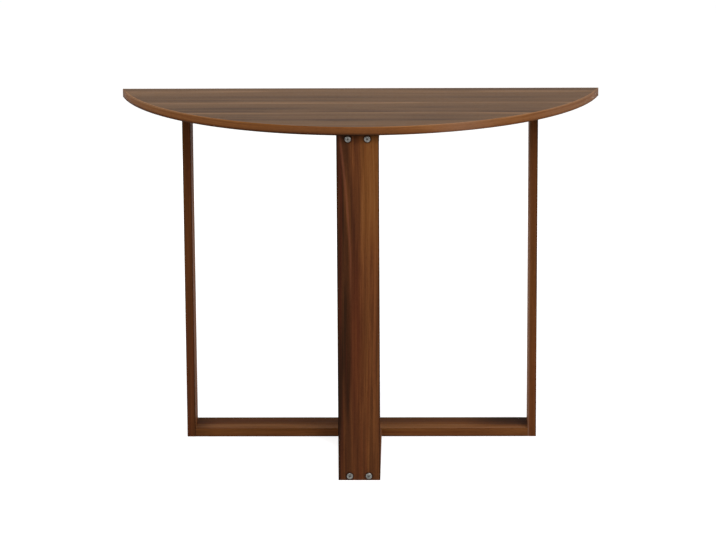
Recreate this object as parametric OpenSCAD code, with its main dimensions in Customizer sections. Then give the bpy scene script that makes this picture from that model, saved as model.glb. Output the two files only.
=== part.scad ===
// Folding console table: a D-shaped top tips up on three hinges along its straight
// back, and a gate leg under its middle swings flat against the back frame.
// X runs along the back, +Y points to the back, +Z is up, the floor is z = 0.

/* [Table] */
// Height from the floor to the top's upper face
table_height = 760; // [630:1:920]
// Thickness of every leg, rail and post board
board = 18; // [15:0.5:25]
// Width of every leg, rail and post board
board_width = 88; // [70:1:120]
// Thickness of the edge band on the legs and rails
board_band = 1; // [0.4:0.1:2]
// Rounding of the legs' and rails' long edges
board_round = 0.5; // [0.2:0.1:1.5]

/* [Top] */
// Width of the top along its straight back edge
top_width = 1030; // [860:1:1300]
// Depth of the top from its back edge to the middle of its curve
top_depth = 420; // [340:1:510]
// Thickness of the top
top_board = 18; // [15:0.5:25]
// Thickness of the edge band round the top
top_band = 2; // [1:0.1:3]
// Rounding of the edge band's outer edges
band_round = 1; // [0.3:0.1:1.2]

/* [Back frame] */
// Width over both back legs
frame_width = 764; // [640:1:920]

/* [Gate leg] */
// Distance that the top stands out past the front leg
front_overhang = 10; // [5:1:60]
// Gap between the gate's rear end and the back frame
swing_gap = 1; // [0.6:0.1:3]
// Gap between the gate and the underside of the top
under_top_gap = 0.3; // [0.2:0.1:1]

/* [Hinges] */
// Length of each hinge along its pin
hinge_length = 60; // [50:1:80]
// Width of each hinge leaf, from the pin to its free edge
leaf_width = 26; // [22:1:27]
// Thickness of each hinge leaf
leaf = 1.5; // [1:0.1:2]
// Outer diameter of the hinge knuckles
knuckle_d = 6.5; // [5.5:0.1:8]
// Diameter of the hinge pins
pin_d = 3; // [2:0.1:3.4]
// Distance from the cam locks to the outer top hinges' nearest screws
top_hinge_inset = 12.5; // [2.5:0.5:100]
// Distance from a gate rail to the middle of the nearest gate hinge
gate_hinge_inset = 90; // [70:1:160]

/* [Fasteners] */
// Distance between the two bolts of each front leg joint
bolt_spacing = 40; // [30:1:50]
// Thread diameter of the front leg bolts
bolt_d = 6; // [5:1:8]
// Length of the front leg bolts under the head
bolt_length = 58; // [54:1:70]
// Diameter of the front leg bolts' heads
bolt_head_d = 13.5; // [11:0.5:15]
// Height of the front leg bolts' heads
bolt_head_h = 2.2; // [1.5:0.1:3]
// Width across the flats of the bolts' hexagon socket
bolt_socket = 4; // [3:0.5:5]
// Distance from a gate rail's front end to its barrel nuts
nut_inset = 32; // [28:1:36]
// Diameter of the barrel nuts
nut_d = 10; // [9:0.5:12]
// Length of the barrel nuts
nut_length = 14; // [12:0.5:14]
// Diameter of the cam locks in the back rails
cam_d = 15; // [12:0.5:15]
// Height of the cam locks
cam_height = 12.5; // [10:0.5:13]
// Distance from a back rail's end to the middle of its cam locks
cam_inset = 34; // [24:1:40]
// Distance from a back rail's long edges to the middle of its cam locks
cam_edge = 17; // [13:0.5:20]
// Diameter of the wooden dowels
dowel_d = 8; // [6:1:10]
// Length of the wooden dowels
dowel_length = 30; // [24:1:36]
// Shank diameter of the hinge screws
screw_d = 3; // [2.5:0.1:3.5]
// Head diameter of the hinge screws
screw_head_d = 6.4; // [5:0.1:7]
// Length of the hinge screws
screw_length = 14; // [12:0.5:15]
// Shank diameter of the long screws in the two hinge posts
long_screw_d = 5; // [4:0.5:6]
// Length of the long screws in the two hinge posts
long_screw_length = 50; // [40:1:60]

/* [Hidden] */
$fn = 48;

fit_gap = 0.05;                 // running clearance of pins, bolts and screws
knuckle_gap = 0.3;              // clearance round and between the knuckles
pin_play = 0.1;                 // extra distance of the top's hinge pins from the wood
through = 1;                    // extra length of a cut past the face that it opens
join = 0.01;                    // overlap of shapes that are one piece

knuckle_r = knuckle_d / 2;
pin_r = pin_d / 2;
leg_height = table_height - top_board;
gate_height = leg_height - under_top_gap;
post_length = leg_height - 2 * board;
stile_length = gate_height - 2 * board;
core_width = board_width - 2 * board_band;

// The top hinges' pins lie just behind the back edges of the top and the rail.
top_pin_out = knuckle_r + knuckle_gap + pin_play;
hinge_reach = top_pin_out + knuckle_r;
back_y = (top_depth - hinge_reach) / 2;     // the straight back edge
frame_front_y = back_y - board_width;
gate_rear_y = frame_front_y - swing_gap;
leg_front_y = back_y - top_depth + front_overhang;
leg_back_y = leg_front_y + board;
gate_rail_length = gate_rear_y - leg_back_y;
back_rail_length = frame_width - 2 * board;
gate_left_x = -board_width / 2;             // left faces of the gate and its hinge post

// The top is a segment of a circle whose middle lies behind the back edge.
arc_r = (pow(top_width / 2, 2) + pow(top_depth, 2)) / (2 * top_depth);
arc_y = back_y - top_depth + arc_r;

// Gate hinge pins: leaves are screwed flat on the left faces.
gate_pin_x = gate_left_x - knuckle_r - knuckle_gap;
gate_pin_y = frame_front_y - swing_gap / 2;
gate_leaf_inset = knuckle_r + knuckle_gap - leaf;
gate_hinge_zs = [board + gate_hinge_inset, leg_height - board - gate_hinge_inset];

// Top hinge pins: leaves close on each other between the top and the rail.
top_leaf_inset = knuckle_gap / 2;
mortise = leaf + top_leaf_inset;
mortise_reach = leaf_width + knuckle_gap;   // from the pin to a mortise's far side

knuckles = 5;
knuckle_pitch = (hinge_length + knuckle_gap) / knuckles;
leaf_screw_x = hinge_length / 3;            // from a leaf's middle to its outer screws
leaf_screw_xs = [-leaf_screw_x, 0, leaf_screw_x];
leaf_screw_edge = 7;            // from a leaf's free edge to its outer screws
leaf_screw_step = 5;            // how much nearer the pin the middle screw lies
leaf_screw_out = [for (step = [0, leaf_screw_step, 0]) leaf_width - leaf_screw_edge - step];
leaf_corner_r = 3;
pin_head_r = 2.4;
pin_head_h = 0.8;

screw_tip = 3;
screw_head_h = (screw_head_d - screw_d) / 2;
long_head_d = 10;
long_head_h = 3.5;
long_head_gap = 1.35;           // from the long screws' heads to the middle top hinge
cam_bolt_d = 6;
cam_bolt_neck_d = 5;
cam_bolt_in_leg = 11;
cam_slot_depth = 1.2;
cam_slot_width = 1.4;
cam_slot_length = 9;
cam_spacing = board_width - 2 * cam_edge;
dowel_bevel = 1;
nut_slot_depth = 1.6;
nut_slot_width = 1.6;
socket_depth = 1.5;
bolt_rim_h = 0.8;               // height of the upright rim of a bolt's head
bolt_bevel = 1.6;               // width of the slope from the rim to the head's face
bolt_tip = 1;                   // bevel of the thread's end

wood = [0.42, 0.25, 0.14];
top_wood = [0.46, 0.34, 0.26];
edge_wood = [0.38, 0.21, 0.10];
top_edge_wood = [0.48, 0.30, 0.16];
dowel_wood = [0.80, 0.66, 0.46];
zinc = [0.72, 0.73, 0.74];
hinge_metal = [0.62, 0.63, 0.65];

// The outer top hinges' screws keep clear of the cam locks in the rail under them, and
// the long screws' heads keep clear of the middle top hinge.
top_hinge_x = back_rail_length / 2 - cam_inset - cam_d / 2 - top_hinge_inset - leaf_screw_x;
top_hinge_xs = [-top_hinge_x, 0, top_hinge_x];
long_screw_y = board_width / 2 + top_pin_out - mortise_reach - long_head_d / 2 - long_head_gap;

// ---- shapes that repeat ----

// A board core whose length runs along Z, with its two edge bands left off.
module upright(length, face_x) {
    size = face_x ? [core_width, board, length] : [board, core_width, length];
    translate([-size.x / 2, -size.y / 2, 0]) cube(size);
}

// Section of an edge band with its outer side at x = thickness. The rounding is limited
// by the band's thickness.
module band_profile(thickness, height, rounding) {
    r = min(rounding, thickness - join);
    intersection() {
        square([thickness, height]);
        union() {
            square([thickness - r, height]);
            translate([0, r]) square([thickness, height - 2 * r]);
            for (y = [r, height - r])
                translate([thickness - r, y]) circle(r = r, $fn = 24);
        }
    }
}

// The pair of edge bands of an upright.
module upright_bands(length, face_x) {
    rotate([0, 0, face_x ? 0 : 90])
        for (side = [0, 1])
            mirror([side, 0, 0])
                translate([core_width / 2, -board / 2, 0])
                    linear_extrude(height = length)
                        band_profile(board_band, board, board_round);
}

// A flat rail's core, centred, with its length along X or along Y.
module rail(length, along_x) {
    cube(along_x ? [length, core_width, board] : [core_width, length, board], center = true);
}

// The pair of edge bands of a flat rail.
module rail_bands(length, along_x) {
    rotate([0, 0, along_x ? 90 : 0])
        for (side = [0, 1])
            mirror([side, 0, 0])
                translate([core_width / 2, length / 2, -board / 2]) rotate([90, 0, 0])
                    linear_extrude(height = length)
                        band_profile(board_band, board, board_round);
}

// Wooden dowel along +Z with bevelled ends.
module dowel() {
    r = dowel_d / 2;
    end_r = r - dowel_bevel;
    far = dowel_length - dowel_bevel;
    rotate_extrude()
        polygon([[0, 0], [end_r, 0], [r, dowel_bevel], [r, far], [end_r, dowel_length],
                 [0, dowel_length]]);
}

// Round hole that a dowel fills, drilled along +Z.
module dowel_hole() {
    translate([0, 0, -fit_gap])
        cylinder(h = dowel_length + 2 * fit_gap, r = dowel_d / 2 + fit_gap);
}

// Countersunk screw pointing down, head flush with z = 0; grow widens it to a hole.
module screw(d, head_d, head_h, length, grow = 0) {
    translate([0, 0, -head_h])
        cylinder(h = head_h, r1 = d / 2 + grow, r2 = head_d / 2 + grow);
    translate([0, 0, screw_tip - length])
        cylinder(h = length - screw_tip - head_h + join, r = d / 2 + grow);
    translate([0, 0, -length - grow])
        cylinder(h = screw_tip + grow + join, r1 = d / 6 + grow, r2 = d / 2 + grow);
}

module hinge_screw(grow = 0) {
    screw(screw_d, screw_head_d, screw_head_h, screw_length, grow);
}

module long_screw(grow = 0) {
    screw(long_screw_d, long_head_d, long_head_h, long_screw_length, grow);
}

// Rectangle with two rounded corners on its far side, from y = near to y = far.
module leaf_outline(near, far) {
    half = hinge_length / 2;
    translate([-half, near]) square([hinge_length, far - near - leaf_corner_r]);
    translate([leaf_corner_r - half, near])
        square([hinge_length - 2 * leaf_corner_r, far - near]);
    for (side = [-1, 1])
        translate([side * (half - leaf_corner_r), far - leaf_corner_r])
            circle(r = leaf_corner_r);
}

// The screws of one leaf, heads flush with z = top of the leaf.
module leaf_screws(inset, grow = 0) {
    for (i = [0 : 2])
        translate([leaf_screw_xs[i], leaf_screw_out[i], -inset])
            hinge_screw(grow);
}

// One hinge leaf. The pin runs along X at y = 0, z = 0; the leaf reaches to +Y and
// lies inset below the pin. Even knuckles are the fixed half's, odd the moving half's.
module hinge_leaf(inset, first) {
    clear = knuckle_r + knuckle_gap;
    difference() {
        union() {
            translate([0, 0, -inset - leaf])
                linear_extrude(height = leaf) leaf_outline(clear, leaf_width);
            for (i = [first : 2 : knuckles - 1])
                translate([i * knuckle_pitch - hinge_length / 2, 0, 0])
                    knuckle(inset, clear);
        }
        translate([-hinge_length, 0, 0]) rotate([0, 90, 0])
            cylinder(h = 2 * hinge_length, r = pin_r + fit_gap);
        leaf_screws(inset, fit_gap);
    }
}

// One knuckle and the strip that joins it to its leaf.
module knuckle(inset, clear) {
    length = knuckle_pitch - knuckle_gap;
    rotate([0, 90, 0]) cylinder(h = length, r = knuckle_r);
    translate([0, 0, -inset - leaf]) cube([length, clear + join, leaf]);
}

// Hinge pin along X with a small head at each end.
module hinge_pin() {
    translate([-hinge_length / 2 - pin_head_h, 0, 0]) rotate([0, 90, 0]) {
        cylinder(h = hinge_length + 2 * pin_head_h, r = pin_r);
        cylinder(h = pin_head_h, r = pin_head_r);
        translate([0, 0, hinge_length + pin_head_h]) cylinder(h = pin_head_h, r = pin_head_r);
    }
}

// Front leg bolt along +Y with its head's underside at y = 0.
module leg_bolt() {
    flats_r = bolt_socket / sqrt(3);
    difference() {
        rotate([90, 0, 0]) {
            cylinder(h = bolt_rim_h, r = bolt_head_d / 2);
            translate([0, 0, bolt_rim_h])
                cylinder(h = bolt_head_h - bolt_rim_h, r1 = bolt_head_d / 2,
                         r2 = bolt_head_d / 2 - bolt_bevel);
        }
        translate([0, socket_depth - bolt_head_h, 0]) rotate([90, 0, 0])
            cylinder(h = socket_depth + through, r = flats_r, $fn = 6);
    }
    r = bolt_d / 2;
    rotate([-90, 0, 0]) rotate_extrude()
        polygon([[0, 0], [r, 0], [r, bolt_length - bolt_tip], [r - bolt_tip, bolt_length],
                 [0, bolt_length]]);
}

// ---- places that several pieces share ----

// The joints between the front leg and the two gate rails: their middles' heights.
gate_rail_zs = [board / 2, gate_height - board / 2];
back_rail_zs = [board / 2, leg_height - board / 2];

module at_leg_bolts() {
    for (z = gate_rail_zs, side = [-1, 1])
        translate([side * bolt_spacing / 2, leg_front_y, z]) children();
}

module leg_bolt_holes() {
    at_leg_bolts() rotate([-90, 0, 0])
        translate([0, 0, -through])
            cylinder(h = bolt_length + 2 * through, r = bolt_d / 2 + fit_gap);
}

module at_barrel_nuts() {
    for (z = gate_rail_zs, side = [-1, 1])
        translate([side * bolt_spacing / 2, leg_back_y + nut_inset, z - board / 2]) children();
}

// Blind holes from the rails' undersides, which the barrel nuts fill to their ends.
module barrel_nut_holes() {
    at_barrel_nuts() translate([0, 0, -through])
        cylinder(h = through + (board + nut_length) / 2, r = nut_d / 2 + fit_gap);
}

module at_gate_dowels() {
    for (z = gate_rail_zs)
        translate([0, leg_back_y - dowel_length / 3, z]) rotate([-90, 0, 0]) children();
}

// Corners of the back frame, mirrored: children are drawn for the right corner.
module at_back_corners() {
    for (z = back_rail_zs, side = [0, 1])
        mirror([side, 0, 0])
            translate([back_rail_length / 2, back_y - board_width / 2, z]) children();
}

module cam_bolt_set(grow = 0) {
    at_back_corners() for (side = [-1, 1])
        translate([0, side * cam_spacing / 2, 0]) rotate([0, 90, 0]) {
            cylinder(h = cam_bolt_in_leg + grow, r = cam_bolt_d / 2 + grow);
            translate([0, 0, -cam_inset])
                cylinder(h = cam_inset + join, r = cam_bolt_neck_d / 2 + grow);
        }
}

module cam_holes() {
    at_back_corners() for (side = [-1, 1])
        translate([-cam_inset, side * cam_spacing / 2, -board / 2 - through])
            cylinder(h = cam_height + through, r = cam_d / 2 + fit_gap);
}

module at_frame_dowels() {
    at_back_corners() translate([-dowel_length * 2 / 3, 0, 0]) rotate([0, 90, 0]) children();
}

// Long screws through two rails into the ends of an upright between them.
module post_screw_set(x, y, low_z, high_z, grow = 0) {
    for (side = [-1, 1])
        translate([x, y + side * long_screw_y, 0]) {
            translate([0, 0, high_z]) long_screw(grow);
            translate([0, 0, low_z]) mirror([0, 0, 1]) long_screw(grow);
        }
}

post_x = gate_left_x + board / 2;
post_y = back_y - board_width / 2;
stile_y = gate_rear_y - board_width / 2;

module frame_post_screws(grow = 0) {
    post_screw_set(post_x, post_y, 0, leg_height, grow);
}

module gate_stile_screws(grow = 0) {
    post_screw_set(post_x, stile_y, 0, gate_height, grow);
}

// Gate hinges: drawn with the pin upright. The fixed half reaches back over the hinge
// post, the moving half forward over the gate's stile.
module at_gate_hinges() {
    for (z = gate_hinge_zs)
        translate([gate_pin_x, gate_pin_y, z]) rotate([0, -90, 0]) children();
}

module gate_screws_into(forward, grow = 0) {
    at_gate_hinges() mirror([0, forward, 0]) leaf_screws(gate_leaf_inset, grow);
}

// Top hinges: the fixed half lies in the rail, the moving half above it in the top.
module at_top_hinges() {
    for (x = top_hinge_xs)
        translate([x, back_y + top_pin_out, leg_height]) mirror([0, 1, 0]) children();
}

module top_screws_into(upward, grow = 0) {
    at_top_hinges() mirror([0, 0, upward]) leaf_screws(top_leaf_inset, grow);
}

// Mortises that the top hinges' leaves lie in, on one side of the joint.
module top_hinge_mortises(upward) {
    at_top_hinges() mirror([0, 0, upward])
        translate([0, 0, -mortise])
            linear_extrude(height = mortise + through) mortise_outline();
}

module mortise_outline() {
    half = hinge_length / 2 + knuckle_gap;
    translate([-half, 0]) square([2 * half, mortise_reach]);
}

// ---- back frame ----

module left_leg() {
    color(wood) back_leg(-1);
}

module right_leg() {
    color(wood) back_leg(1);
}

module back_leg(side) {
    difference() {
        translate([side * (frame_width - board) / 2, post_y, 0]) upright(leg_height, false);
        cam_bolt_set(fit_gap);
        at_frame_dowels() dowel_hole();
    }
}

module left_leg_edge_bands() {
    color(edge_wood) translate([-(frame_width - board) / 2, post_y, 0])
        upright_bands(leg_height, false);
}

module right_leg_edge_bands() {
    color(edge_wood) translate([(frame_width - board) / 2, post_y, 0])
        upright_bands(leg_height, false);
}

module back_rail(z) {
    difference() {
        translate([0, post_y, z]) rail(back_rail_length, true);
        cam_holes();
        cam_bolt_set(fit_gap);
        at_frame_dowels() dowel_hole();
        frame_post_screws(fit_gap);
    }
}

module back_top_rail() {
    color(wood) difference() {
        back_rail(back_rail_zs[1]);
        top_hinge_mortises(0);
        top_screws_into(0, fit_gap);
    }
}

module back_bottom_rail() {
    color(wood) back_rail(back_rail_zs[0]);
}

module back_top_rail_edge_bands() {
    color(edge_wood) difference() {
        translate([0, post_y, back_rail_zs[1]]) rail_bands(back_rail_length, true);
        top_hinge_mortises(0);
    }
}

module back_bottom_rail_edge_bands() {
    color(edge_wood) translate([0, post_y, back_rail_zs[0]]) rail_bands(back_rail_length, true);
}

module hinge_post() {
    color(wood) difference() {
        translate([post_x, post_y, board]) upright(post_length, false);
        frame_post_screws(fit_gap);
        gate_screws_into(0, fit_gap);
    }
}

module hinge_post_edge_bands() {
    color(edge_wood) translate([post_x, post_y, board]) upright_bands(post_length, false);
}

module cam_locks() {
    color(zinc) difference() {
        at_back_corners() for (side = [-1, 1])
            translate([-cam_inset, side * cam_spacing / 2, -board / 2]) cam_lock();
        cam_bolt_set(fit_gap);
    }
}

// Cam lock with its key slot in the underside.
module cam_lock() {
    difference() {
        cylinder(h = cam_height - fit_gap, r = cam_d / 2);
        translate([0, 0, cam_slot_depth / 2]) {
            cube([cam_slot_length, cam_slot_width, cam_slot_depth + 2 * join], center = true);
            cube([cam_slot_width, cam_slot_length, cam_slot_depth + 2 * join], center = true);
        }
    }
}

module cam_bolts() {
    color(zinc) cam_bolt_set();
}

module frame_dowels() {
    color(dowel_wood) at_frame_dowels() dowel();
}

module post_screws() {
    color(zinc) frame_post_screws();
}

// ---- gate leg ----

module front_leg() {
    color(wood) difference() {
        translate([0, leg_front_y + board / 2, 0]) upright(gate_height, true);
        leg_bolt_holes();
        at_gate_dowels() dowel_hole();
    }
}

module front_leg_edge_bands() {
    color(edge_wood) translate([0, leg_front_y + board / 2, 0]) upright_bands(gate_height, true);
}

module gate_rail(z) {
    difference() {
        translate([0, gate_rear_y - gate_rail_length / 2, z]) rail(gate_rail_length, false);
        leg_bolt_holes();
        barrel_nut_holes();
        at_gate_dowels() dowel_hole();
        gate_stile_screws(fit_gap);
    }
}

module gate_rail_bands(z) {
    translate([0, gate_rear_y - gate_rail_length / 2, z]) rail_bands(gate_rail_length, false);
}

module gate_top_rail() {
    color(wood) gate_rail(gate_rail_zs[1]);
}

module gate_bottom_rail() {
    color(wood) gate_rail(gate_rail_zs[0]);
}

module gate_top_rail_edge_bands() {
    color(edge_wood) gate_rail_bands(gate_rail_zs[1]);
}

module gate_bottom_rail_edge_bands() {
    color(edge_wood) gate_rail_bands(gate_rail_zs[0]);
}

module gate_stile() {
    color(wood) difference() {
        translate([post_x, stile_y, board]) upright(stile_length, false);
        gate_stile_screws(fit_gap);
        gate_screws_into(1, fit_gap);
    }
}

module gate_stile_edge_bands() {
    color(edge_wood) translate([post_x, stile_y, board]) upright_bands(stile_length, false);
}

module front_leg_bolts() {
    color(zinc) at_leg_bolts() leg_bolt();
}

module barrel_nuts() {
    color(zinc) difference() {
        at_barrel_nuts() translate([0, 0, (board - nut_length) / 2]) barrel_nut();
        leg_bolt_holes();
    }
}

// Barrel nut with the slot that turns it in its lower end.
module barrel_nut() {
    difference() {
        cylinder(h = nut_length, r = nut_d / 2);
        translate([-nut_slot_width / 2, -nut_d, -nut_slot_depth])
            cube([nut_slot_width, 2 * nut_d, 2 * nut_slot_depth]);
    }
}

module gate_dowels() {
    color(dowel_wood) at_gate_dowels() dowel();
}

module stile_screws() {
    color(zinc) gate_stile_screws();
}

// ---- gate hinges ----

module gate_hinge_post_leaves() {
    color(hinge_metal) at_gate_hinges() hinge_leaf(gate_leaf_inset, 0);
}

module gate_hinge_stile_leaves() {
    color(hinge_metal) at_gate_hinges() mirror([0, 1, 0]) hinge_leaf(gate_leaf_inset, 1);
}

module gate_hinge_pins() {
    color(zinc) at_gate_hinges() hinge_pin();
}

module gate_hinge_post_screws() {
    color(zinc) gate_screws_into(0);
}

module gate_hinge_stile_screws() {
    color(zinc) gate_screws_into(1);
}

// ---- top ----

// The top's core, without the edge bands.
module top_core_plan() {
    intersection() {
        translate([0, arc_y]) circle(r = arc_r - top_band, $fn = 180);
        translate([-top_width, back_y - top_band - 2 * top_depth])
            square([2 * top_width, 2 * top_depth]);
    }
}

module table_top() {
    color(top_wood) difference() {
        translate([0, 0, leg_height]) linear_extrude(height = top_board) top_core_plan();
        top_hinge_mortises(1);
        top_screws_into(1, fit_gap);
    }
}

module top_curved_edge_band() {
    color(top_edge_wood) swept_round_curve() band_profile(top_band, top_board, band_round);
}

// Sweeps a section of the edge band round the top's curve. The ends of the sweep are
// square to the curve, and the back band laps over them.
module swept_round_curve() {
    half_sweep = acos((arc_y - back_y + top_band) / arc_r);
    translate([0, arc_y, leg_height])
        rotate_extrude(start = -90 - half_sweep, angle = 2 * half_sweep, $fn = 180)
            translate([arc_r - top_band, 0]) children();
}

module top_back_edge_band() {
    color(top_edge_wood) difference() {
        intersection() {
            translate([-top_width, back_y - top_band, leg_height]) rotate([90, 0, 90])
                linear_extrude(height = 2 * top_width)
                    band_profile(top_band, top_board, band_round);
            translate([0, arc_y, leg_height - through])
                cylinder(h = top_board + 2 * through, r = arc_r, $fn = 180);
        }
        swept_round_curve() translate([0, -through])
            square([top_band + through, top_board + 2 * through]);
        top_hinge_mortises(1);
    }
}

module top_hinge_rail_leaves() {
    color(hinge_metal) at_top_hinges() hinge_leaf(top_leaf_inset, 0);
}

module top_hinge_top_leaves() {
    color(hinge_metal) at_top_hinges() mirror([0, 0, 1]) hinge_leaf(top_leaf_inset, 1);
}

module top_hinge_pins() {
    color(zinc) at_top_hinges() hinge_pin();
}

module top_hinge_rail_screws() {
    color(zinc) top_screws_into(0);
}

module top_hinge_top_screws() {
    color(zinc) top_screws_into(1);
}

left_leg();
right_leg();
back_top_rail();
back_bottom_rail();
hinge_post();
left_leg_edge_bands();
right_leg_edge_bands();
back_top_rail_edge_bands();
back_bottom_rail_edge_bands();
hinge_post_edge_bands();
cam_locks();
cam_bolts();
frame_dowels();
post_screws();
gate_hinge_post_leaves();
gate_hinge_pins();
gate_hinge_post_screws();
top_hinge_rail_leaves();
top_hinge_pins();
top_hinge_rail_screws();
front_leg();
gate_top_rail();
gate_bottom_rail();
gate_stile();
front_leg_edge_bands();
gate_top_rail_edge_bands();
gate_bottom_rail_edge_bands();
gate_stile_edge_bands();
front_leg_bolts();
barrel_nuts();
gate_dowels();
stile_screws();
gate_hinge_stile_leaves();
gate_hinge_stile_screws();
table_top();
top_curved_edge_band();
top_back_edge_band();
top_hinge_top_leaves();
top_hinge_top_screws();
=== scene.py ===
import math
import random
import bmesh
import bpy
from mathutils import Matrix, Vector


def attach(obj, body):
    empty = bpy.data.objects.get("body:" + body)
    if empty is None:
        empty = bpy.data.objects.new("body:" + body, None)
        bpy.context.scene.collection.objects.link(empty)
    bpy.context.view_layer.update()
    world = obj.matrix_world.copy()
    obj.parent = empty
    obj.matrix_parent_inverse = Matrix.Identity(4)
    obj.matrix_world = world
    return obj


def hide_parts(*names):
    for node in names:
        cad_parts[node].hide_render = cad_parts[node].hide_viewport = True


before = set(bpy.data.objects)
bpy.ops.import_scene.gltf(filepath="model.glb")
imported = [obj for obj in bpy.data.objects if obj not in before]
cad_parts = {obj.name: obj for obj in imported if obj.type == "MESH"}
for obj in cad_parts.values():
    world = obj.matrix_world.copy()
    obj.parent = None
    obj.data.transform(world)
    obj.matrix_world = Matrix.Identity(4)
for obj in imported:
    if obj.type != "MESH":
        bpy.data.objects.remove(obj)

# Folding console table: walnut foil on flat boards, zinc fittings, on a white studio floor.
# Metres throughout; X along the back, +Y to the back, +Z up, the floor at z = 0.

MM = 0.001
X, Y, Z = 0, 1, 2
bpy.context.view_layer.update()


# ---- sizes of the table ----

TOP_HALF_WIDTH = 515 * MM
TOP_DEPTH = 420 * MM
TOP_FACE = 760 * MM
TOP_UNDERSIDE = 742 * MM
BACK_EDGE = 206.55 * MM
CURVE_RADIUS = (TOP_HALF_WIDTH ** 2 + TOP_DEPTH ** 2) / (2 * TOP_DEPTH)
CURVE_MIDDLE_Y = BACK_EDGE - TOP_DEPTH + CURVE_RADIUS
LEG_HALF_WIDTH = 44 * MM
LEG_FRONT = -203.45 * MM
RAIL_FRONT = BACK_EDGE - 2 * LEG_HALF_WIDTH
FRAME_OUTSIDE = 382 * MM
FRAME_INSIDE = 364 * MM
BOLT_HALF_SPACING = 20 * MM
BOLT_HEIGHTS = (9 * MM, 732.7 * MM)


# ---- camera, lights and floor ----

CAMERA_PLACE = Vector((0.1169, -7.29255, 2.2139))
CAMERA_YAW = math.radians(-0.949)
CAMERA_PITCH_DOWN = math.radians(13.927)
CAMERA_ROLL = math.radians(-0.328)
CAMERA_LENS_MM = 177.16
CAMERA_SENSOR_MM = 36


def make_camera():
    ahead = Vector((math.sin(CAMERA_YAW) * math.cos(CAMERA_PITCH_DOWN),
                    math.cos(CAMERA_YAW) * math.cos(CAMERA_PITCH_DOWN),
                    -math.sin(CAMERA_PITCH_DOWN)))
    level_right = Vector((math.cos(CAMERA_YAW), -math.sin(CAMERA_YAW), 0))
    turn = Matrix.Rotation(CAMERA_ROLL, 3, -ahead)
    right = turn @ level_right
    up = turn @ level_right.cross(ahead)
    data = bpy.data.cameras.new("camera")
    data.lens = CAMERA_LENS_MM
    data.sensor_width = CAMERA_SENSOR_MM
    camera = bpy.data.objects.new("camera", data)
    axes = Matrix((right, up, -ahead)).transposed()
    camera.matrix_world = Matrix.Translation(CAMERA_PLACE) @ axes.to_4x4()
    bpy.context.collection.objects.link(camera)
    bpy.context.scene.camera = camera


# Each lamp's name, place, the point it is aimed at, width, watts and whether metal mirrors it.
LAMPS = (
    ("key_lamp", (2.2, -3.2, 3.0), (0, 0, 0.4), 2.2, 95, True),
    ("fill_lamp", (-3.0, -3.0, 2.2), (0, 0, 0.4), 2.4, 42, True),
    ("top_lamp", (0.2, -1.1, 3.3), (0, 0, 0.3), 1.5, 34, True),
    ("back_right_lamp", (1.6, 2.9, 0.36), (0, 0.1, 0.35), 0.7, 38, False),
    ("back_left_lamp", (-1.6, 2.9, 0.36), (0, 0.1, 0.35), 0.7, 38, False),
)


def make_lamp(name, place, aim, width, watts, mirrored):
    """A soft round lamp; one that isn't mirrored lights surfaces and leaves no highlight."""
    data = bpy.data.lights.new(name, "AREA")
    data.shape = "DISK"
    data.size = width
    data.energy = watts
    lamp = bpy.data.objects.new(name, data)
    look = Vector(aim) - Vector(place)
    turn = look.to_track_quat("-Z", "Y").to_matrix().to_4x4()
    lamp.matrix_world = Matrix.Translation(place) @ turn
    lamp.visible_glossy = mirrored
    bpy.context.collection.objects.link(lamp)


def add_node(tree, kind, **values):
    """Adds a shader node and sets its inputs by name."""
    node = tree.nodes.new("ShaderNode" + kind)
    for key, value in values.items():
        node.inputs[key].default_value = value
    return node


def shows_background(tree):
    """1 for rays that show the background: straight from the eye, mirrored or through glass."""
    path = add_node(tree, "LightPath")
    shows = path.outputs["Is Camera Ray"]
    for kind in ("Is Glossy Ray", "Is Transmission Ray"):
        either = add_node(tree, "Math")
        either.operation = "MAXIMUM"
        tree.links.new(shows, either.inputs[0])
        tree.links.new(path.outputs[kind], either.inputs[1])
        shows = either.outputs[0]
    return shows


def blended(tree, share, first, second):
    """The first shader where share is 0, and the second where it is 1."""
    blend = add_node(tree, "MixShader")
    tree.links.new(share, blend.inputs["Fac"])
    tree.links.new(first.outputs[0], blend.inputs[1])
    tree.links.new(second.outputs[0], blend.inputs[2])
    return blend


WHITE = (1, 1, 1, 1)
WORLD_LIGHT = 0.42


def make_world():
    """A world that lights the table softly and shows as plain white."""
    world = bpy.data.worlds.new("white_studio")
    world.use_nodes = True
    bpy.context.scene.world = world
    tree = world.node_tree
    tree.nodes.clear()
    soft = add_node(tree, "Background", Color=WHITE, Strength=WORLD_LIGHT)
    white = add_node(tree, "Background", Color=WHITE, Strength=1)
    sky = blended(tree, shows_background(tree), soft, white)
    out = add_node(tree, "OutputWorld")
    tree.links.new(sky.outputs[0], out.inputs["Surface"])


FLOOR_HALF = 30
FLOOR_PALE = 0.8
FLOOR_LIT = 0.46
FLOOR_GLOW = 0.80


def grey(light):
    return (light, light, light, 1)


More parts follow.
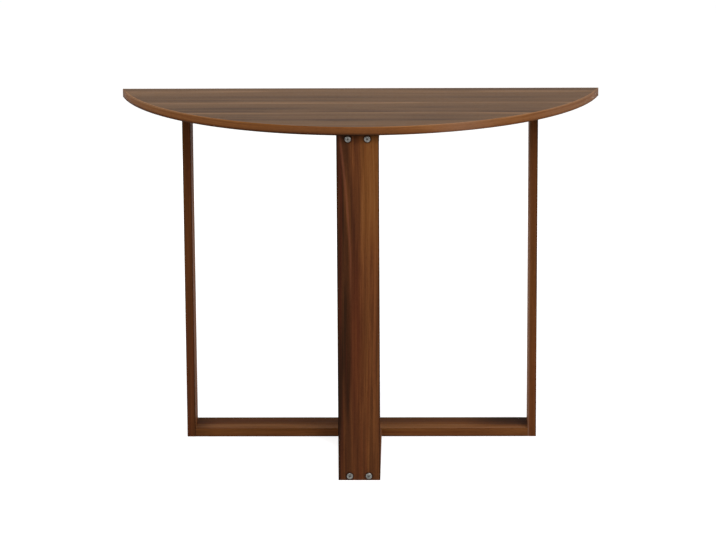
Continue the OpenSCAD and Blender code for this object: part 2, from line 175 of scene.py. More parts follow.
def make_floor():
    """A white floor that keeps the table's shadow, and is clear when seen from below.

    It lights the table as a pale floor would, and shows as a dim lit floor with a glow over it.
    """
    mesh = bpy.data.meshes.new("floor")
    shape = bmesh.new()
    bmesh.ops.create_grid(shape, x_segments=1, y_segments=1, size=FLOOR_HALF)
    shape.to_mesh(mesh)
    shape.free()
    floor = bpy.data.objects.new("floor", mesh)
    bpy.context.collection.objects.link(floor)
    mat = bpy.data.materials.new("white_floor")
    mat.use_nodes = True
    tree = mat.node_tree
    tree.nodes.clear()
    pale = add_node(tree, "BsdfDiffuse", Color=grey(FLOOR_PALE))
    lit = add_node(tree, "BsdfDiffuse", Color=grey(FLOOR_LIT))
    glow = add_node(tree, "Emission", Color=WHITE, Strength=FLOOR_GLOW)
    shown = add_node(tree, "AddShader")
    tree.links.new(lit.outputs[0], shown.inputs[0])
    tree.links.new(glow.outputs[0], shown.inputs[1])
    upper = blended(tree, shows_background(tree), pale, shown)
    clear = add_node(tree, "BsdfTransparent")
    below = add_node(tree, "NewGeometry").outputs["Backfacing"]
    both = blended(tree, below, upper, clear)
    out = add_node(tree, "OutputMaterial")
    tree.links.new(both.outputs[0], out.inputs["Surface"])
    mesh.materials.append(mat)


# ---- materials ----

class Finish:
    """One material and short ways to add its nodes."""

    def __init__(self, name, metallic=0.0, gloss=0.5):
        self.mat = bpy.data.materials.new(name)
        self.mat.use_nodes = True
        self.tree = self.mat.node_tree
        self.bsdf = self.tree.nodes["Principled BSDF"]
        self.bsdf.inputs["Metallic"].default_value = metallic
        self.bsdf.inputs["Specular IOR Level"].default_value = gloss
        self.place = add_node(self.tree, "TexCoord").outputs["Object"]
        split = add_node(self.tree, "SeparateXYZ")
        self.put(self.place, split.inputs[0])
        self.x, self.y, self.z = split.outputs

    def put(self, value, socket):
        if hasattr(value, "is_output"):
            self.tree.links.new(value, socket)
        else:
            socket.default_value = value

    def math(self, operation, *values):
        step = add_node(self.tree, "Math")
        step.operation = operation
        for value, socket in zip(values, step.inputs):
            self.put(value, socket)
        return step.outputs[0]

    def add(self, a, b):
        return self.math("ADD", a, b)

    def minus(self, a, b):
        return self.math("SUBTRACT", a, b)

    def times(self, a, b):
        return self.math("MULTIPLY", a, b)

    def larger(self, a, b):
        return self.math("MAXIMUM", a, b)

    def unsigned(self, a):
        return self.math("ABSOLUTE", a)

    def distance(self, a, b):
        """How far a point a along and b across is."""
        return self.math("SQRT", self.add(self.times(a, a), self.times(b, b)))

    def smooth(self, value, low, high, to_low=0.0, to_high=1.0):
        """A value that goes gently from to_low at low to to_high at high."""
        step = add_node(self.tree, "MapRange")
        step.interpolation_type = "SMOOTHSTEP"
        for key, given in (("Value", value), ("From Min", low), ("From Max", high),
                           ("To Min", to_low), ("To Max", to_high)):
            self.put(given, step.inputs[key])
        return step.outputs["Result"]

    def near(self, value, centre, half, height=1.0):
        """A soft hump of the given height where value is within half of centre."""
        away = self.unsigned(self.minus(value, centre))
        return self.smooth(away, 0.0, half, height, 0.0)

    def joined(self, x, y, z):
        step = add_node(self.tree, "CombineXYZ")
        for value, socket in zip((x, y, z), step.inputs):
            self.put(value, socket)
        return step.outputs[0]

    def vector_sum(self, a, b):
        step = add_node(self.tree, "VectorMath")
        step.operation = "ADD"
        self.put(a, step.inputs[0])
        self.put(b, step.inputs[1])
        return step.outputs[0]

    def scaled(self, vector, factor):
        step = add_node(self.tree, "VectorMath")
        step.operation = "SCALE"
        self.put(vector, step.inputs[0])
        self.put(factor, step.inputs["Scale"])
        return step.outputs[0]

    def noise(self, place, grain, along, across, shift=0.0, detail=2.0, roughness=0.5):
        """Noise whose spots are along long in the grain's direction and across wide."""
        spots = add_node(self.tree, "Mapping")
        self.put(place, spots.inputs["Vector"])
        scale = [1 / (along if i == grain else across) for i in range(3)]
        spots.inputs["Scale"].default_value = scale
        spots.inputs["Location"].default_value = (shift, shift, shift)
        step = add_node(self.tree, "TexNoise", Scale=1, Detail=detail, Roughness=roughness)
        self.put(spots.outputs[0], step.inputs["Vector"])
        return step.outputs["Fac"]

    def ramp(self, value, stops):
        step = add_node(self.tree, "ValToRGB")
        self.put(value, step.inputs["Fac"])
        elements = step.color_ramp.elements
        while len(elements) < len(stops):
            elements.new(0.5)
        for element, (at, colour) in zip(elements, stops):
            element.position = at
            element.color = (*colour, 1)
        return step.outputs["Color"]

    def mix(self, share, a, b):
        step = add_node(self.tree, "Mix")
        step.data_type = "RGBA"
        self.put(share, step.inputs["Factor"])
        self.put(a if hasattr(a, "is_output") else (*a, 1), step.inputs["A"])
        self.put(b if hasattr(b, "is_output") else (*b, 1), step.inputs["B"])
        return step.outputs["Result"]

    def bump(self, height, distance):
        step = add_node(self.tree, "Bump", Strength=1, Distance=distance)
        self.put(height, step.inputs["Height"])
        self.put(step.outputs[0], self.bsdf.inputs["Normal"])

    def finish(self, colour, roughness):
        self.put(colour, self.bsdf.inputs["Base Color"])
        self.put(roughness, self.bsdf.inputs["Roughness"])
        return self.mat


def from_srgb(*values):
    """A screen colour, each part from 0 to 255, as linear light from 0 to 1."""
    return tuple((v / 255 / 12.92) if v <= 10 else ((v / 255 + 0.055) / 1.055) ** 2.4
                 for v in values)


WALNUT_STOPS = (
    (0.00, from_srgb(40, 23, 14)),
    (0.25, from_srgb(62, 35, 20)),
    (0.50, from_srgb(82, 47, 25)),
    (0.75, from_srgb(103, 61, 32)),
    (1.00, from_srgb(122, 77, 43)),
)
PALE_STOPS = (
    (0.00, from_srgb(40, 24, 14)),
    (0.50, from_srgb(86, 51, 27)),
    (0.75, from_srgb(108, 66, 35)),
    (0.88, from_srgb(127, 83, 48)),
    (1.00, from_srgb(143, 103, 70)),
)
# The top's colours: its own walnut, greyed by a painted sheen of grazing reflection.
TOP_STOPS = (
    (0.00, from_srgb(51, 34, 23)),
    (0.50, from_srgb(98, 72, 49)),
    (1.00, from_srgb(145, 110, 78)),
)
WALNUT_RED = from_srgb(90, 36, 22)
WALNUT_GOLD = from_srgb(104, 66, 22)
WALNUT_PINK = from_srgb(102, 58, 44)
WALNUT_PALE = from_srgb(126, 94, 76)


class WalnutFoil(Finish):
    """Straight-grained walnut foil, whose tone goes from 0, darkest, to 1, lightest."""

    # The layers of the grain: each one's length, width, shift, detail and roughness.
    SWAY = (0.45, 0.3, 0.0, 1.0)
    FIGURE = (1.0, 0.024)
    STREAKS = (0.30, 0.0050, 3.1, 3.0, 0.6)
    FIBRES = (0.05, 0.0011, 7.7)
    PORES = (0.009, 0.0006, 1.9, 1.0)
    REDNESS = (0.4, 0.010, 5.3)
    GOLD = (0.5, 0.014, 9.1)

    # How much each layer does.
    SWAY_WIDTH = 0.02
    FIGURE_TONE = 0.8
    STREAK_TONE = 0.75
    FIBRE_LIGHT = 0.30
    FIBRE_HEIGHT = 0.4
    FIBRE_ROUGHNESS = 0.14
    PORE_DARKNESS = 0.22
    PORE_ROUGHNESS = 0.12
    RELIEF = 0.06 * MM

    def __init__(self, name, grain, tone, gloss, contrast, coordinates=None):
        """coordinates, where given, makes the grain's own coordinates from the material."""
        super().__init__(name, gloss=gloss)
        place = self.place if coordinates is None else coordinates(self)
        sway = self.minus(self.noise(place, grain, *self.SWAY), 0.5)
        across = tuple(0.0 if i == grain else self.SWAY_WIDTH for i in range(3))
        place = self.vector_sum(place, self.scaled(across, sway))
        figure = self.minus(self.noise(place, grain, *self.FIGURE), 0.5)
        streaks = self.minus(self.noise(place, grain, *self.STREAKS), 0.5)
        self.fibres = self.noise(place, grain, *self.FIBRES)
        self.pores = self.smooth(self.noise(place, grain, *self.PORES), 0.60, 0.72)
        self.redness = self.smooth(self.noise(place, grain, *self.REDNESS), 0.45, 0.75)
        self.gold = self.smooth(self.noise(place, grain, *self.GOLD), 0.45, 0.75)
        self.tone = self.add(self.times(figure, self.FIGURE_TONE * contrast), tone)
        self.lift(self.times(streaks, self.STREAK_TONE * contrast))
        self.shade = None
        self.tints = []

    def lift(self, amount):
        self.tone = self.add(self.tone, amount)

    def shade_by(self, factor):
        self.shade = factor if self.shade is None else self.times(self.shade, factor)

    def tint(self, share, colour):
        """Mixes a colour in where share is more than 0."""
        self.tints.append((share, colour))

    def dark_arris(self, off, width, depth, front):
        """Darkens the face at y = front where off, the distance from a long edge, is small."""
        at_front = self.smooth(self.y, front + 0.3 * MM, front + 2 * MM, 1.0, 0.0)
        dimmed = self.times(self.near(off, 0.0, width, depth), at_front)
        self.shade_by(self.minus(1.0, dimmed))

    def done(self, roughness=0.5, stops=WALNUT_STOPS, red=0.30, gold=0.25):
        """The finished material; red and gold say how strong those parts of its grain are."""
        colour = self.ramp(self.tone, stops)
        for share, tint in self.tints:
            colour = self.mix(share, colour, tint)
        colour = self.mix(self.times(self.redness, red), colour, WALNUT_RED)
        colour = self.mix(self.times(self.gold, gold), colour, WALNUT_GOLD)
        light = self.add(self.times(self.fibres, self.FIBRE_LIGHT), 1 - self.FIBRE_LIGHT / 2)
        light = self.minus(light, self.times(self.pores, self.PORE_DARKNESS))
        if self.shade is not None:
            light = self.times(light, self.shade)
        self.bump(self.minus(self.times(self.fibres, self.FIBRE_HEIGHT), self.pores), self.RELIEF)
        least = roughness - self.FIBRE_ROUGHNESS / 2
        rough = self.add(self.times(self.fibres, self.FIBRE_ROUGHNESS), least)
        rough = self.add(rough, self.times(self.pores, self.PORE_ROUGHNESS))
        return self.finish(self.scaled(colour, light), rough)


def set_material(node, mat):
    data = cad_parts[node].data
    data.materials.clear()
    data.materials.append(mat)


# ---- the top ----

# Streaks along the top: place from y = 0 towards the back in mm, half width in mm, tone.
TOP_STREAKS = (
    (196, 10, -0.06), (166, 24, 0.20), (97, 26, -0.16), (68, 16, -0.24),
    (40, 10, 0.28), (-20, 34, -0.24), (-51, 12, -0.30), (-69, 9, 0.22),
    (-96, 18, -0.12), (-114, 12, -0.20), (-142, 24, -0.34), (-182, 20, 0.02),
)


def top_foil():
    """Walnut with broad streaks along X that fade in and out, dark at the back on the right."""
    wood = WalnutFoil("top_foil", X, tone=0.50, gloss=0.03, contrast=0.45)
    broken = wood.noise(wood.place, X, 0.22, 0.05, shift=6.1)
    broken = wood.smooth(broken, 0.35, 0.65, 0.35, 1.25)
    sway = wood.minus(wood.noise(wood.place, X, 0.3, 0.3, shift=2.7, detail=1.0), 0.5)
    place_y = wood.add(wood.y, wood.times(sway, 0.02))
    for place, half, tone in TOP_STREAKS:
        streak = wood.near(place_y, place * MM, half * MM, tone)
        wood.lift(wood.times(streak, broken))
    back = wood.near(wood.y, 190 * MM, 22 * MM, -0.25)
    wood.lift(wood.times(back, wood.smooth(wood.x, 0.0, 0.22)))
    # The greyer stops paint the top's grazing sheen into its colour.
    return wood.done(stops=TOP_STOPS, red=0.06, gold=0.06)


def round_the_curve(wood):
    """Coordinates of the curved edge band: length along it, distance out, height."""
    ahead = wood.minus(CURVE_MIDDLE_Y, wood.y)
    angle = wood.math("ARCTAN2", wood.x, ahead)
    return wood.joined(wood.times(angle, CURVE_RADIUS), wood.distance(wood.x, ahead), wood.z)


def band_foil(name, coordinates=None):
    """Painted highlight along its rounded top, lighter towards both ends, painted shade along its
    underside and at its corners.

    Left of the middle its lower half is darker with painted shade, and right of the middle two
    parts are greyer.
    """
    wood = WalnutFoil(name, X, tone=0.72, gloss=0.02, contrast=0.45, coordinates=coordinates)
    # Painted highlight along the band's rounded top, weaker just left of the middle.
    upper = wood.smooth(wood.z, TOP_FACE - 4 * MM, TOP_FACE - 1 * MM)
    wood.lift(wood.times(upper, wood.add(wood.near(wood.x, -0.09, 0.18, -0.10), 0.14)))
    # Painted shade along the underside, half as strong on the right.
    under = wood.smooth(wood.z, TOP_UNDERSIDE, TOP_UNDERSIDE + 6.5 * MM, -0.60, 0.0)
    wood.lift(wood.times(under, wood.smooth(wood.x, 0.0, 0.2, 1.0, 0.5)))
    # The painted shade reaches higher just left of the middle.
    low = wood.smooth(wood.z, TOP_UNDERSIDE + 4 * MM, TOP_UNDERSIDE + 12 * MM, -0.18, 0.0)
    wood.lift(wood.times(low, wood.near(wood.x, -0.10, 0.22)))
    wood.lift(wood.smooth(wood.x, -0.50, -0.24, 0.18, 0.0))
    wood.lift(wood.smooth(wood.x, 0.04, 0.24, 0.0, 0.13))
    wood.lift(wood.smooth(wood.x, 0.36, 0.44, 0.0, 0.09))
    wood.tint(wood.near(wood.x, 0.22, 0.10, 0.40), WALNUT_PALE)
    wood.tint(wood.smooth(wood.x, 0.33, 0.42, 0.0, 0.22), WALNUT_PALE)
    # Painted shade along the lowest 2.5 mm.
    wood.shade_by(wood.smooth(wood.z, TOP_UNDERSIDE, TOP_UNDERSIDE + 2.5 * MM, 0.62, 1.0))
    # Painted shade at the band's outermost corners.
    corner = (TOP_HALF_WIDTH - 15 * MM, TOP_HALF_WIDTH - 2 * MM)
    wood.shade_by(wood.smooth(wood.unsigned(wood.x), *corner, 1.0, 0.70))
    return wood.done(roughness=0.45, stops=PALE_STOPS, red=0.12, gold=0.3)


# ---- legs and rails ----

# The front leg's pale streak stands straight at its place from the leg's left edge, and from a
# height upwards it curves left by its bend over its rise.
STREAK_PLACE = 28 * MM
STREAK_CURVES_FROM = 470 * MM
STREAK_BEND = 21 * MM
STREAK_RISE = 270 * MM

# Patches on the front leg: place from its left edge, half width, height and half height in mm,
# and tone.
LEG_PATCHES = (
    (18, 12, 520, 90, -0.20), (28, 10, 240, 100, -0.18), (50, 9, 195, 50, -0.12),
    (48, 8, 455, 40, -0.14), (71, 8, 195, 70, -0.14), (72, 8, 420, 60, 0.10),
    (17, 8, 120, 60, 0.10), (60, 8, 60, 80, 0.20),
)


def front_leg_foil():
    """Dark wood on the left that a pale streak curves through, lighter on the right."""
    wood = WalnutFoil("front_leg_foil", Z, tone=0.53, gloss=0.02, contrast=1.5)
    from_left = wood.add(wood.x, LEG_HALF_WIDTH)
    foot = wood.smooth(wood.z, 0.02, 0.20, 0.45, 1.0)
    wood.lift(wood.times(wood.smooth(from_left, 4 * MM, 66 * MM, -0.34, 0.28), foot))
    wood.lift(wood.smooth(wood.z, 0.25, 0.62, -0.14, 0.0))

    rise = wood.math("DIVIDE", wood.minus(wood.z, STREAK_CURVES_FROM), STREAK_RISE)
    bend = wood.times(wood.math("POWER", wood.larger(rise, 0.0), 1.5), STREAK_BEND)
    off = wood.minus(from_left, wood.minus(STREAK_PLACE, bend))
    strong = wood.smooth(wood.z, 0.34, 0.52)
    streak = wood.times(wood.near(off, 0.0, 4 * MM), strong)
    wood.lift(wood.times(streak, 0.13))
    wood.lift(wood.times(wood.near(off, 9 * MM, 8 * MM, -0.16), strong))
    wood.lift(wood.near(off, -9 * MM, 9 * MM, -0.22))
    wood.tint(wood.times(streak, 0.45), WALNUT_PINK)

    low = wood.times(wood.smooth(wood.z, 0.10, 0.28), wood.smooth(wood.z, 0.36, 0.50, 1.0, 0.0))
    wood.lift(wood.times(wood.near(from_left, 20 * MM, 14 * MM, -0.26), low))
    wood.lift(wood.smooth(from_left, 76 * MM, 84 * MM, 0.0, -0.14))
    for place, half, height, half_height, tone in LEG_PATCHES:
        patch = wood.near(from_left, place * MM, half * MM, tone)
        wood.lift(wood.times(patch, wood.near(wood.z, height * MM, half_height * MM)))

    golden = wood.times(wood.smooth(from_left, 42 * MM, 60 * MM), wood.smooth(wood.z, 0.42, 0.60))
    wood.lift(wood.times(golden, 0.10))
    wood.gold = wood.larger(wood.times(wood.gold, 0.3), golden)
    reddish = wood.near(from_left, 40 * MM, 26 * MM)
    reddish = wood.times(reddish, wood.smooth(wood.z, 0.30, 0.60, 1.0, 0.3))
    reddish = wood.times(reddish, wood.smooth(wood.z, 0.05, 0.30, 0.3, 1.0))
    wood.redness = wood.larger(wood.redness, reddish)

    from_middle = wood.unsigned(wood.x)
    wood.dark_arris(wood.minus(from_middle, LEG_HALF_WIDTH), 3.5 * MM, 0.75, LEG_FRONT)
    # Painted shadow of the top's overhang on the leg's upper end.
    wood.shade_by(wood.smooth(wood.z, TOP_UNDERSIDE - 24 * MM, TOP_UNDERSIDE - 6 * MM, 1.0, 0.62))
    # Painted shade in a ring round each bolt head.
    across = wood.minus(from_middle, BOLT_HALF_SPACING)
    for height in BOLT_HEIGHTS:
        from_bolt = wood.distance(across, wood.minus(wood.z, height))
        wood.shade_by(wood.smooth(from_bolt, 7 * MM, 10.5 * MM, 0.4, 1.0))
    return wood.done(red=0.35)


def upright_foil(name, tone, face=0.0, pale_side=None):
    """Walnut along Z, with painted shade close under the top, and darker along its front arrises.

    face is how much painted light its faces behind its front edge get, less towards the top, and
    the side at x = pale_side has a pale arris of painted sheen in place of a dark one.
    """
    wood = WalnutFoil(name, Z, tone=tone, gloss=0.005, contrast=0.8)
    # Painted light on the faces behind the front edge, fading out towards the top.
    behind = wood.smooth(wood.y, RAIL_FRONT + 0.5 * MM, RAIL_FRONT + 2 * MM)
    wood.lift(wood.times(behind, wood.smooth(wood.z, 0.45, 0.74, face, 0.0)))
    # Painted shade close under the top.
    wood.shade_by(wood.smooth(wood.z, 0.55, TOP_UNDERSIDE, 1.0, 0.75))
    for side in (FRAME_OUTSIDE, FRAME_INSIDE):
        if side == pale_side:
            # Painted sheen: a pale tint on this side's face and arris, low down and fading behind
            # the front.
            low = wood.smooth(wood.z, 0.44, 0.58, 1.0, 0.3)
            pale = wood.times(wood.near(wood.x, side, 4.5 * MM, 0.85), low)
            front = wood.smooth(wood.y, RAIL_FRONT, RAIL_FRONT + 5 * MM, 1.0, 0.3)
            wood.tint(wood.times(pale, front), WALNUT_PALE)
        else:
            off = wood.minus(wood.unsigned(wood.x), side)
            wood.dark_arris(off, 2.2 * MM, 0.6, RAIL_FRONT)
    return wood.done()


def gate_rail_foil():
    return WalnutFoil("gate_rail_foil", Y, tone=0.72, gloss=0.01, contrast=0.7).done()


def back_rail_foil():
    """A front stripe of painted light, the top's painted shadow behind it, and painted shade at
    both ends.
    """
    wood = WalnutFoil("back_rail_foil", X, tone=0.67, gloss=0.005, contrast=0.6)
    # Painted light on a stripe along the front, and the top's painted shadow behind it.
    behind = wood.smooth(wood.y, RAIL_FRONT + 1 * MM, RAIL_FRONT + 6 * MM)
    stripe = wood.smooth(wood.y, RAIL_FRONT + 27 * MM, RAIL_FRONT + 40 * MM, 0.24, -0.03)
    wood.lift(wood.times(behind, stripe))
    wood.lift(wood.smooth(wood.y, RAIL_FRONT + 40 * MM, RAIL_FRONT + 75 * MM, 0.0, -0.12))
    wood.lift(wood.smooth(wood.y, BACK_EDGE - 10 * MM, BACK_EDGE - 3 * MM, 0.0, -0.30))
    # Painted shadow of the right leg on the rail's right end.
    right_end = wood.smooth(wood.x, 0.20, 0.33, 0.0, -0.55)
    inner = wood.smooth(wood.y, RAIL_FRONT + 10 * MM, RAIL_FRONT + 45 * MM)
    wood.lift(wood.times(right_end, inner))
    # Painted shade at the left end, beside the left leg.
    wood.shade_by(wood.smooth(wood.x, 2 * MM - FRAME_INSIDE, 49 * MM - FRAME_INSIDE, 0.72, 1.0))
    # Painted contact shadow where the bottom rail's front face meets the floor.
    wood.dark_arris(wood.z, 4 * MM, 0.6, RAIL_FRONT)
    return wood.done(stops=PALE_STOPS)


# ---- materials of the fittings ----

SPECK_SIZE = 0.9 * MM
SPECK_RELIEF = 0.02 * MM
BEECH_DARK = from_srgb(196, 160, 116)
BEECH_PALE = from_srgb(222, 190, 146)
BEECH_FLECK = from_srgb(170, 128, 86)


def zinc_plate(name, tint, roughness, wear, patch=6 * MM):
    """Plated metal with fine specks and patches that are only wear times as bright."""
    metal = Finish(name, metallic=1.0)
    cloud = metal.noise(metal.place, X, patch, patch, detail=3.0)
    speck = metal.noise(metal.place, X, SPECK_SIZE, SPECK_SIZE, shift=2.3)
    dimmed = tuple(c * wear for c in tint)
    colour = metal.mix(metal.smooth(cloud, 0.3, 0.75), tint, dimmed)
    metal.bump(speck, SPECK_RELIEF)
    rough = metal.add(metal.times(cloud, 0.2), roughness - 0.1)
    return metal.finish(colour, metal.add(rough, metal.times(speck, 0.08)))


def beech(name, grain):
    wood = Finish(name, gloss=0.2)
    fibres = wood.noise(wood.place, grain, 0.02, 0.0012, detail=3.0)
    flecks = wood.noise(wood.place, grain, 0.004, 0.0006, shift=4.1, detail=1.0)
    flecks = wood.times(wood.smooth(flecks, 0.6, 0.7), 0.4)
    colour = wood.mix(fibres, BEECH_DARK, BEECH_PALE)
    rough = wood.add(wood.times(fibres, 0.1), 0.55)
    return wood.finish(wood.mix(flecks, colour, BEECH_FLECK), rough)


# ---- screws and bolts ----

def next_ring(shape, edges, radius, height):
    """Carries a ring of edges round Z on to a new radius and height."""
    made = bmesh.ops.extrude_edge_only(shape, edges=edges)["geom"]
    verts = [g for g in made if isinstance(g, bmesh.types.BMVert)]
    grow = radius / verts[0].co.xy.length
    bmesh.ops.scale(shape, vec=(grow, grow, 1), verts=verts)
    bmesh.ops.translate(shape, vec=(0, 0, height - verts[0].co.z), verts=verts)
    return [g for g in made if isinstance(g, bmesh.types.BMEdge) and g.is_boundary]


def circle(shape, segments, radius, height):
    made = bmesh.ops.create_circle(shape, segments=segments, radius=radius)["verts"]
    bmesh.ops.translate(shape, vec=(0, 0, height), verts=made)
    return list(dict.fromkeys(e for v in made for e in v.link_edges))


def settle_order(elements, key):
    """Puts a shape's elements in an order that is the same in every run."""
    order = {element: i for i, element in enumerate(sorted(elements, key=key))}
    elements.sort(key=order.get)
    elements.index_update()


def to_mesh(shape, name):
    bmesh.ops.recalc_face_normals(shape, faces=shape.faces)
    settle_order(shape.verts, lambda vert: tuple(vert.co))
    settle_order(shape.faces, lambda face: sorted(vert.index for vert in face.verts))
    mesh = bpy.data.meshes.new(name)
    shape.to_mesh(mesh)
    shape.free()
    return mesh


SCREW_SIDES = 32
SCREW_TIP = 3 * MM
RECESS_FLOOR_SHARE = 0.55


def cross_screw(name, shank, head, length, head_height, arm, slot, depth):
    """Countersunk screw along -Z with a tapered cross recess in its head at z = 0.

    shank and head are diameters; the recess's arms are arm long from the middle and slot wide.
    The tip is a third as wide as the shank.
    """
    shape = bmesh.new()
    floor = bmesh.ops.create_grid(shape, x_segments=3, y_segments=3, size=arm)["verts"]
    # The grid's inner lines move to the sides of the slots, and its corner squares go.
    for vert in floor:
        for axis in (X, Y):
            if abs(vert.co[axis]) < 0.9 * arm:
                vert.co[axis] = math.copysign(slot / 2, vert.co[axis])
    corners = [f for f in shape.faces
               if min(abs(c) for c in f.calc_center_median().xy) > slot / 2]
    bmesh.ops.delete(shape, geom=corners, context="FACES")
    bmesh.ops.scale(shape, vec=(RECESS_FLOOR_SHARE, RECESS_FLOOR_SHARE, 1), verts=shape.verts)
    bmesh.ops.translate(shape, vec=(0, 0, -depth), verts=shape.verts)
    edges = [e for e in shape.edges if e.is_boundary]
    rim = bmesh.ops.extrude_edge_only(shape, edges=edges)["geom"]
    verts = [g for g in rim if isinstance(g, bmesh.types.BMVert)]
    widen = 1 / RECESS_FLOOR_SHARE
    bmesh.ops.scale(shape, vec=(widen, widen, 1), verts=verts)
    bmesh.ops.translate(shape, vec=(0, 0, depth), verts=verts)
    rim = [g for g in rim if isinstance(g, bmesh.types.BMEdge) and g.is_boundary]
    outer = circle(shape, SCREW_SIDES, head / 2, 0.0)
    bmesh.ops.triangle_fill(shape, use_beauty=True, use_dissolve=False, edges=rim + outer)
    ring = next_ring(shape, outer, shank / 2, -head_height)
    ring = next_ring(shape, ring, shank / 2, SCREW_TIP - length)
    ring = next_ring(shape, ring, shank / 6, -length)
    bmesh.ops.edgeloop_fill(shape, edges=ring)
    return to_mesh(shape, name)


# The leg bolts, in mm. The outline of the head goes from its foot on the leg to the flat round
# its socket, as radius and height; low on the head, below the given limit, and in its socket the
# head takes a dark zinc that paints shade there and the wood's dark reflection on its rim.
BOLT_OUTLINE = (
    (6.3, 0.0), (6.55, 0.15), (6.75, 0.4), (6.75, 0.8),
    (6.4, 1.35), (5.8, 1.8), (5.0, 2.1), (4.2, 2.2),
)
BOLT_SIDES = 48
BOLT_HEAD_HEIGHT = 2.2
BOLT_SHADED_BELOW = 1.4
BOLT_SOCKET_ACROSS = 4.0
BOLT_SOCKET_DEPTH = 1.5
BOLT_SOCKET_FLARE = 1.08
BOLT_SOCKET_FLARE_DEPTH = 0.15
BOLT_SHANK_RADIUS = 3
BOLT_TIP_RADIUS = 2
BOLT_STRAIGHT_LENGTH = 57
BOLT_LENGTH = 58
BRIGHT, SHADED = 0, 1


def leg_bolt():
    """Bolt along -Z with a domed head, its top at z = 0, and a hexagon socket."""
    shape = bmesh.new()
    shank = circle(shape, BOLT_SIDES, BOLT_SHANK_RADIUS * MM, -BOLT_HEAD_HEIGHT * MM)
    ring = shank
    for radius, height in BOLT_OUTLINE:
        ring = next_ring(shape, ring, radius * MM, (height - BOLT_HEAD_HEIGHT) * MM)
        for edge in ring:
            # Low rings take the dark zinc: painted shade and a painted dark reflection of the
            # wood at the rim.
            edge.link_faces[0].material_index = SHADED if height < BOLT_SHADED_BELOW else BRIGHT
    corner = BOLT_SOCKET_ACROSS / math.sqrt(3) * MM
    socket = circle(shape, 6, corner * BOLT_SOCKET_FLARE, 0.0)
    bmesh.ops.triangle_fill(shape, use_beauty=True, use_dissolve=False, edges=ring + socket)
    socket = next_ring(shape, socket, corner, -BOLT_SOCKET_FLARE_DEPTH * MM)
    outside = set(shape.faces)
    socket = next_ring(shape, socket, corner, -BOLT_SOCKET_DEPTH * MM)
    bmesh.ops.edgeloop_fill(shape, edges=socket)
    # The socket takes the dark zinc: painted shade in the recess.
    for face in set(shape.faces) - outside:
        face.material_index = SHADED
    for radius, length in ((BOLT_SHANK_RADIUS, BOLT_STRAIGHT_LENGTH),
                           (BOLT_TIP_RADIUS, BOLT_LENGTH)):
        shank = next_ring(shape, shank, radius * MM, -(BOLT_HEAD_HEIGHT + length) * MM)
    bmesh.ops.edgeloop_fill(shape, edges=shank)
    return to_mesh(shape, "leg_bolt")


SAME_PLACE = 0.001 * MM


def solid_boxes(node):
    """The box of each separate solid of a node."""
    shape = bmesh.new()
    shape.from_mesh(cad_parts[node].data)
    bmesh.ops.remove_doubles(shape, verts=shape.verts, dist=SAME_PLACE)
    left = set(shape.verts)
    boxes = []
    while left:
        group = [left.pop()]
        for vert in group:
            for edge in vert.link_edges:
                other = edge.other_vert(vert)
                if other in left:
                    left.remove(other)
                    group.append(other)
        low = Vector([min(v.co[i] for v in group) for i in range(3)])
        high = Vector([max(v.co[i] for v in group) for i in range(3)])
        boxes.append((low, high))
    shape.free()
    return sorted(boxes, key=lambda box: tuple(box[0]))


OUT_FRONT = Vector((0, -1, 0))
OUT_LEFT = Vector((-1, 0, 0))
OUT_UP = Vector((0, 0, 1))
OUT_DOWN = Vector((0, 0, -1))


def head_places(node, out):
    """Where each screw or bolt's head is, and the way that it faces.

    Where out is None, heads in the table's upper half face up and those in its lower half down.
    """
    places = []
    for low, high in solid_boxes(node):
        middle = (low + high) / 2
        facing = out
        if out is None:
            facing = OUT_UP if middle.z > TOP_UNDERSIDE / 2 else OUT_DOWN
        for axis in range(3):
            if facing[axis] > 0:
                middle[axis] = high[axis]
            elif facing[axis] < 0:
                middle[axis] = low[axis]
        places.append((middle, facing))
    return places


SHARP_ANGLE = math.radians(32)
TURN_SEED = 11


def fit_screws(node, body, mesh, out, mats, turns):
    """Stands detailed screws in the places of a node's plain ones, each turned by chance."""
    shape = bmesh.new()
    for place, facing in head_places(node, out):
        known = len(shape.verts)
        shape.from_mesh(mesh)
        shape.verts.ensure_lookup_table()
        spin = Matrix.Rotation(turns.uniform(0, math.pi / 2), 4, "Z")
        aim = facing.to_track_quat("Z", "Y").to_matrix().to_4x4()
        stand = Matrix.Translation(place) @ aim @ spin
        bmesh.ops.transform(shape, matrix=stand, verts=shape.verts[known:])
    finished = to_mesh(shape, node + "_finished")
    finished.shade_smooth()
    finished.set_sharp_from_angle(angle=SHARP_ANGLE)
    for mat in mats:
        finished.materials.append(mat)
    piece = bpy.data.objects.new(node + "_finished", finished)
    bpy.context.collection.objects.link(piece)
    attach(piece, body)
    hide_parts(node)


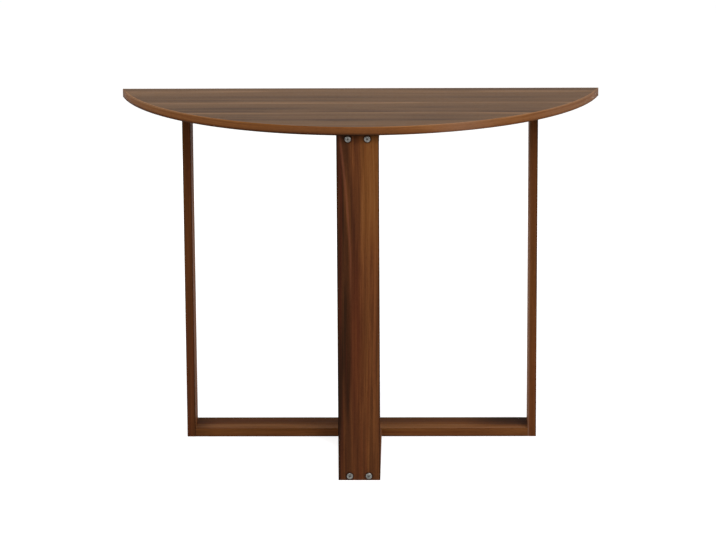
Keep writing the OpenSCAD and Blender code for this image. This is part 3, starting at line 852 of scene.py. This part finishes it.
def fit_fasteners(zinc):
    """Replaces the plain screws and bolts with detailed ones."""
    turns = random.Random(TURN_SEED)
    bolt = leg_bolt()
    # The bolts' second zinc is dark: painted shade in their sockets and on their rims.
    bolt_mats = (zinc_plate("bolt_zinc", (0.24, 0.235, 0.22), roughness=0.34, wear=0.25,
                            patch=2.2 * MM),
                 zinc_plate("shaded_zinc", (0.09, 0.088, 0.082), roughness=0.5, wear=0.6))
    screw_mats = (zinc,)
    hinge_screw = cross_screw("hinge_screw", shank=3 * MM, head=6.4 * MM, length=14 * MM,
                              head_height=1.7 * MM, arm=1.9 * MM, slot=0.9 * MM, depth=1.0 * MM)
    long_screw = cross_screw("long_screw", shank=5 * MM, head=10 * MM, length=50 * MM,
                             head_height=3.5 * MM, arm=2.9 * MM, slot=1.3 * MM, depth=2.0 * MM)
    for node, body, mesh, out, mats in (
            ("front_leg_bolts", "gate_leg", bolt, OUT_FRONT, bolt_mats),
            ("gate_hinge_post_screws", "back_frame", hinge_screw, OUT_LEFT, screw_mats),
            ("gate_hinge_stile_screws", "gate_leg", hinge_screw, OUT_LEFT, screw_mats),
            ("top_hinge_rail_screws", "back_frame", hinge_screw, OUT_UP, screw_mats),
            ("top_hinge_top_screws", "top", hinge_screw, OUT_DOWN, screw_mats),
            ("post_screws", "back_frame", long_screw, None, screw_mats),
            ("stile_screws", "gate_leg", long_screw, None, screw_mats)):
        fit_screws(node, body, mesh, out, mats, turns)


def paint_table():
    """Gives every node of the CAD its material, and returns the one of the plain fittings."""
    materials = {
        "table_top": top_foil(),
        "top_curved_edge_band": band_foil("curved_band_foil", round_the_curve),
        "top_back_edge_band": band_foil("back_band_foil"),
        "front_leg": front_leg_foil(),
        "left_leg": upright_foil("left_leg_foil", tone=0.42, face=0.40),
        "right_leg": upright_foil("right_leg_foil", tone=0.62, face=0.34, pale_side=FRAME_INSIDE),
        "hinge_post": upright_foil("post_foil", tone=0.55),
        "back_bottom_rail": back_rail_foil(),
        "gate_top_rail": gate_rail_foil(),
    }
    materials["gate_stile"] = materials["hinge_post"]
    materials["back_top_rail"] = materials["back_bottom_rail"]
    materials["gate_bottom_rail"] = materials["gate_top_rail"]
    for node, mat in list(materials.items()):
        materials.setdefault(node + "_edge_bands", mat)
    zinc = zinc_plate("bright_zinc", (0.38, 0.38, 0.37), roughness=0.34, wear=0.8)
    steel = zinc_plate("hinge_steel", (0.40, 0.405, 0.41), roughness=0.38, wear=0.8)
    dowel_grains = {"frame_dowels": X, "gate_dowels": Y}
    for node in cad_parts:
        if node in materials:
            set_material(node, materials[node])
        elif node in dowel_grains:
            set_material(node, beech(node + "_beech", dowel_grains[node]))
        elif "leaves" in node:
            set_material(node, steel)
        else:
            set_material(node, zinc)
    return zinc


make_camera()
make_world()
make_floor()
for lamp in LAMPS:
    make_lamp(*lamp)
fit_fasteners(paint_table())

scene = bpy.context.scene
scene.view_settings.view_transform = "Standard"
